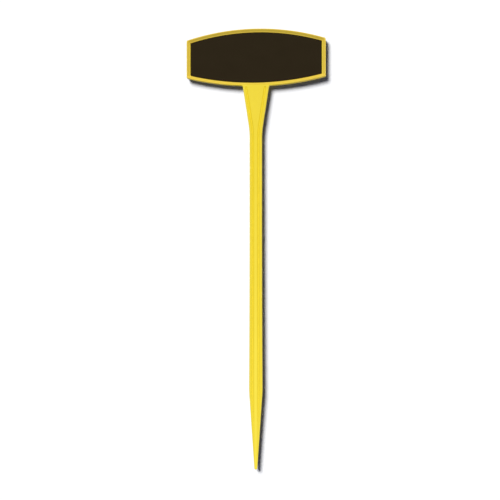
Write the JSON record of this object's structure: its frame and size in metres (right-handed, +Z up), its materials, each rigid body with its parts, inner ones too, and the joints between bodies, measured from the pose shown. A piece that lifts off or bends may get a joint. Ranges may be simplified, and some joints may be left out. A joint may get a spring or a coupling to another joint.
{
  "type": "chalkboard plant label",
  "caption": "Plant label on a ribbed moulded stake: a barrel-shaped head tray holds a black chalkboard panel, and a pointed spike pushes into the soil.",
  "frame": {"origin": "on the stem's centre line, in the middle of its thickness, at the soil line", "axes": "+Z up along the stake from spike to head, -Y out of the writing face, +X to the reader's right"},
  "size_m": [0.08, 0.0036, 0.2527],
  "materials": {
    "yellow_plastic": "semi-gloss injection moulding",
    "chalkboard": "matt chalkboard coating on a thin rigid board",
    "adhesive": "translucent double-sided adhesive sheet"
  },
  "bodies": {
    "root": {"stake": "yellow_plastic", "chalkboard_panel": "chalkboard", "adhesive_sheet": "adhesive"}
  },
  "joints": []
}
